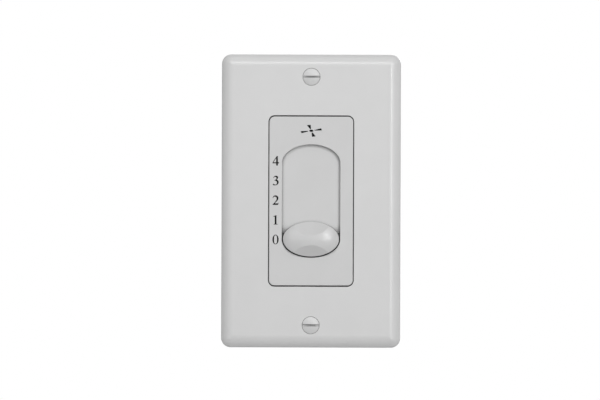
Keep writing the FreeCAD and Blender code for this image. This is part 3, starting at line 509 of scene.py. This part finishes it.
def thread_shank(shape, x, z, start, end, root, crest):
    """A helical thread round an axis along Y, faded out at both ends, as a closed surface."""
    steps = int((end - start) / thread_pitch - 1) * steps_round
    rows = []
    for step in range(steps + 1):
        angle = 2 * math.pi * step / steps_round
        height = min(1, step / run_out_steps, (steps - step) / run_out_steps)
        row = []
        for along, rise in thread_profile:
            radius = root + (crest - root) * rise * height
            y = start + (step / steps_round + along) * thread_pitch
            row.append(
                shape.verts.new((x + radius * math.cos(angle), y, z + radius * math.sin(angle)))
            )
        rows.append(row)
    for row, following in zip(rows, rows[1:]):
        for k in range(len(thread_profile) - 1):
            shape.faces.new((row[k], following[k], following[k + 1], row[k + 1]))
    for step in range(steps - steps_round):
        row, following = rows[step], rows[step + 1]
        above, above_following = rows[step + steps_round], rows[step + steps_round + 1]
        shape.faces.new((row[3], following[3], above_following[0], above[0]))
    # The thread's open ends, each closed to a point on the axis
    first_loop = [row[0] for row in rows[: steps_round + 1]] + rows[0][:0:-1]
    last_loop = [row[3] for row in rows[-steps_round - 1:]] + rows[-1][2::-1]
    for loop, y in ((first_loop, start), (last_loop, end)):
        middle = shape.verts.new((x, y, z))
        for k, vertex in enumerate(loop):
            shape.faces.new((loop[k - 1], vertex, middle))


def threaded_screw(node, cut, root, crest, slot):
    """A screw in place of its CAD solid: the same head, and a real thread behind it."""
    low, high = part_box(node)
    x = (low.x + high.x) / 2
    z = (low.z + high.z) / 2
    shape = bmesh.new()
    shape.from_mesh(nodes[node].data)
    bmesh.ops.remove_doubles(shape, verts=shape.verts, dist=WELD)
    bmesh.ops.bisect_plane(
        shape,
        geom=shape.verts[:] + shape.edges[:] + shape.faces[:],
        dist=cut_weld,
        plane_co=(0, cut, 0),
        plane_no=(0, 1, 0),
        clear_outer=True,
    )
    bmesh.ops.holes_fill(shape, edges=[e for e in shape.edges if e.is_boundary])
    thread_shank(shape, x, z, cut - thread_overlap, high.y, root, crest)
    mesh = bpy.data.meshes.new(node + "_threaded")
    shape.to_mesh(mesh)
    shape.free()
    piece = dress(mesh_piece(node + "_threaded", mesh), slot)
    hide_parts(node)


small_thread = (thread_root, thread_crest)
for level in ("upper", "lower"):
    threaded_screw(level + "_plate_screw", plate_screw_cut, *small_thread, "screw_white")
    threaded_screw(level + "_box_screw", box_screw_cut, *small_thread, "box_screw_steel")
threaded_screw(
    "ground_screw", ground_screw_cut, ground_thread_root, ground_thread_crest, "ground_green"
)


# Marks of the mould on the housing's back: a raised bare frame and four ejector rings
mark_height = 0.25 * MM
ejector_height = 0.12 * MM
mark_sink = 0.05 * MM
housing_back_y = 34 * MM
label_frame_outer = (13 * MM, 15 * MM, 1.5 * MM)
label_frame_inner = (12.4 * MM, 14.4 * MM, 0.9 * MM)
label_frame_z = 6 * MM
ejector_outer = (2.2 * MM, 2.2 * MM, 2.2 * MM)
ejector_inner = (1.9 * MM, 1.9 * MM, 1.9 * MM)
ejector_low_z = -26 * MM
ejector_high_z = 27 * MM
ejector_x = 15 * MM
ejector_places = [(x, z) for z in (ejector_low_z, ejector_high_z) for x in (-ejector_x, ejector_x)]


def ring_piece(name, outer, inner, x, z, y_low, y_high, slot, body="switch"):
    """A flat ring square to Y, between two outlines of half width, half height and the
    corners' radius, or their radii along X and Z."""
    outlines = []
    for half_width, half_height, *radii in (outer, inner):
        wide, tall = radii if len(radii) == 2 else radii * 2
        outline = []
        for side, up in ((1, 1), (-1, 1), (-1, -1), (1, -1)):
            a = (side * half_width, up * (half_height - tall))
            b = (side * (half_width - wide), up * half_height)
            a_handle = (side * half_width, up * (half_height - tall * (1 - CIRCLE_HANDLE)))
            b_handle = (side * (half_width - wide * (1 - CIRCLE_HANDLE)), up * half_height)
            if side * up < 0:
                a, b, a_handle, b_handle = b, a, b_handle, a_handle
            outline.append(a)
            outline.append((*a_handle, *b_handle, *b))
        outline.append(outline[0])
        outlines.append((outline, lambda u, v: (x + u, z + v, 0)))
    flat_piece(name, outlines, y_low, y_high, slot, body)


ring_piece(
    "housing_label_frame",
    label_frame_outer,
    label_frame_inner,
    0,
    label_frame_z,
    housing_back_y - mark_sink,
    housing_back_y + mark_height,
    "housing_black",
)
for index, (x, z) in enumerate(ejector_places):
    ring_piece(
        f"ejector_ring_{index}",
        ejector_outer,
        ejector_inner,
        x,
        z,
        housing_back_y - mark_sink,
        housing_back_y + ejector_height,
        "housing_black",
    )

# Thin black film as painted shade: a sheet on the strap round the insert, which darkens the gap
# round it, and a sheet under the knob's rim, which shows as a painted shadow line past the rim,
# wider below it than above
film_gap = 0.01 * MM
gap_film_thickness = 0.15 * MM
gap_film_reach = 1.3 * MM
gap_film_corner = 2.1 * MM
shadow_reach = 0.4 * MM
shadow_lap = 0.6 * MM
shadow_drop = 0.21 * MM
shadow_film_thickness = 0.08 * MM
bezel_low, bezel_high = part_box("face_bezel")
gap_film_half_width = (bezel_high.x - bezel_low.x) / 2 + film_gap
gap_film_half_height = (bezel_high.z - bezel_low.z) / 2 + film_gap
strap_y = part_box("mounting_strap")[0].y
# This black sheet is painted shade in the gap round the insert
ring_piece(
    "gap_shade_film",
    (gap_film_half_width + gap_film_reach, gap_film_half_height + gap_film_reach, gap_film_corner + gap_film_reach),
    (gap_film_half_width, gap_film_half_height, gap_film_corner),
    0,
    0,
    strap_y - gap_film_thickness - film_gap,
    strap_y - film_gap,
    "carriage_plastic",
)
knob_low, knob_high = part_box("slide_knob")
knob_z = (knob_low.z + knob_high.z) / 2
knob_half_height = (knob_high.z - knob_low.z) / 2
knob_half_width = 10.9 * MM
# The knob's black film is a painted shadow line: it reaches past the oval's sides, and further
# below it
outer = (knob_half_width + shadow_reach, knob_half_height + shadow_drop)
inner = (knob_half_width - shadow_lap, knob_half_height - shadow_lap)
floor_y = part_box("track_floor")[0].y
ring_piece(
    "knob_shadow_film",
    outer + outer,
    inner + inner,
    0,
    knob_z - shadow_drop,
    floor_y - film_gap - shadow_film_thickness,
    floor_y - film_gap,
    "carriage_plastic",
    "slider",
)

# Black film on the knob's wings too, as painted shade in the gap beside the oval. Its inner side
# follows the oval. The wings lie as deep as wing_depth below the insert's face.
wing_depth = 1.4 * MM
wing_film_thickness = 0.05 * MM
wing_film_low = -2.69 * MM
wing_film_high = 2.69 * MM
wing_film_slant = 2.5 * MM
wing_film_end = 11.9 * MM
wide = knob_half_width + 2 * film_gap
tall = knob_half_height + 2 * film_gap
start_angle = math.asin(wing_film_low / tall)
end_angle = math.asin(wing_film_slant / tall)
handle = 4 / 3 * math.tan((end_angle - start_angle) / 4)
starts = (wide * math.cos(start_angle), tall * math.sin(start_angle))
ends = (wide * math.cos(end_angle), tall * math.sin(end_angle))
wing_shadow_film = [
    starts,
    (
        starts[0] - handle * wide * math.sin(start_angle),
        starts[1] + handle * tall * math.cos(start_angle),
        ends[0] + handle * wide * math.sin(end_angle),
        ends[1] - handle * tall * math.cos(end_angle),
        *ends,
    ),
    (wing_film_end, wing_film_high),
    (wing_film_end, wing_film_low),
    starts,
]
for side, direction in (("left", -1), ("right", 1)):
    flat_piece(
        "wing_shadow_film_" + side,
        [(wing_shadow_film, lambda u, v, direction=direction: (direction * u, knob_z + v, 0))],
        bezel_low.y + wing_depth - film_gap - wing_film_thickness,
        bezel_low.y + wing_depth - film_gap,
        "carriage_plastic",
        "slider",
    )


def background_rays(tree):
    """1 for rays that show the background: from the camera, a gloss or a clear body."""
    light_path = add(tree, "ShaderNodeLightPath").outputs
    rays = light_path["Is Camera Ray"]
    for name in ("Is Glossy Ray", "Is Transmission Ray"):
        rays = add(
            tree, "ShaderNodeMath", {0: rays, 1: light_path[name]}, operation="MAXIMUM"
        ).outputs[0]
    return rays


def stage_floor():
    """A round pale floor that fades out to white, well below the switch."""
    shape = bmesh.new()
    bmesh.ops.create_circle(
        shape, cap_ends=True, segments=FLOOR_SEGMENTS, radius=FLOOR_RADIUS
    )
    mesh = bpy.data.meshes.new("floor")
    shape.to_mesh(mesh)
    shape.free()
    floor = bpy.data.objects.new("floor", mesh)
    bpy.context.scene.collection.objects.link(floor)
    floor.location.z = FLOOR_LEVEL
    material = bpy.data.materials.new("floor_pale")
    material.use_nodes = True
    tree = material.node_tree
    seen = background_rays(tree)
    shader = tree.nodes["Principled BSDF"]
    first, second = FLOOR_COLOURS
    blotches = spread(tree, noise(tree, FLOOR_BLOTCH), 0, 1)
    pale = blend_colours(tree, blotches, grey(first), grey(second))
    colour = blend_colours(tree, seen, grey(FLOOR_BOUNCE), pale)
    tree.links.new(colour, shader.inputs["Base Color"])
    shader.inputs["Roughness"].default_value = FLOOR_ROUGHNESS
    shader.inputs["Specular IOR Level"].default_value = FLOOR_SPECULAR
    centre_distance = add(
        tree, "ShaderNodeVectorMath", {0: place(tree)}, operation="LENGTH"
    ).outputs["Value"]
    fade = spread(tree, centre_distance, *FLOOR_GLOW, *FLOOR_FADE)
    share = add(tree, "ShaderNodeMath", {0: fade, 1: seen}, operation="MULTIPLY").outputs[0]
    glow = add(tree, "ShaderNodeEmission", {"Strength": 1.0})
    mix = add(tree, "ShaderNodeMixShader", {0: share, 1: shader.outputs[0], 2: glow.outputs[0]})
    tree.links.new(mix.outputs[0], tree.nodes["Material Output"].inputs["Surface"])
    mesh.materials.append(material)


def studio():
    """Soft lamps, an even pale world and the camera."""
    scene = bpy.context.scene
    world = bpy.data.worlds.new("studio")
    scene.world = world
    world.use_nodes = True
    tree = world.node_tree
    background = tree.nodes["Background"]
    background.inputs["Color"].default_value = (1, 1, 1, 1)
    strength = spread(tree, background_rays(tree), AMBIENT, 1, 0, 1)
    tree.links.new(strength, background.inputs["Strength"])
    for name, (turn, height, distance, width, tallness, power) in LAMPS.items():
        lamp = bpy.data.lights.new(name, "AREA")
        lamp.shape = "ELLIPSE"
        lamp.size = width
        lamp.size_y = tallness
        lamp.energy = power
        stand = bpy.data.objects.new(name, lamp)
        a = math.radians(turn)
        e = math.radians(height)
        away = Vector((math.sin(a) * math.cos(e), -math.cos(a) * math.cos(e), math.sin(e)))
        stand.location = away * distance
        stand.rotation_euler = away.to_track_quat("Z", "Y").to_euler()
        scene.collection.objects.link(stand)
    camera = bpy.data.objects.new("camera", bpy.data.cameras.new("camera"))
    camera.data.sensor_width = CAMERA_SENSOR
    camera.data.lens = CAMERA_LENS
    camera.data.clip_start, camera.data.clip_end = CAMERA_REACH
    camera.location = CAMERA_AT
    camera.rotation_euler = (math.radians(90), CAMERA_ROLL, 0)
    scene.collection.objects.link(camera)
    scene.camera = camera
    scene.view_settings.view_transform = "Standard"


stage_floor()
studio()
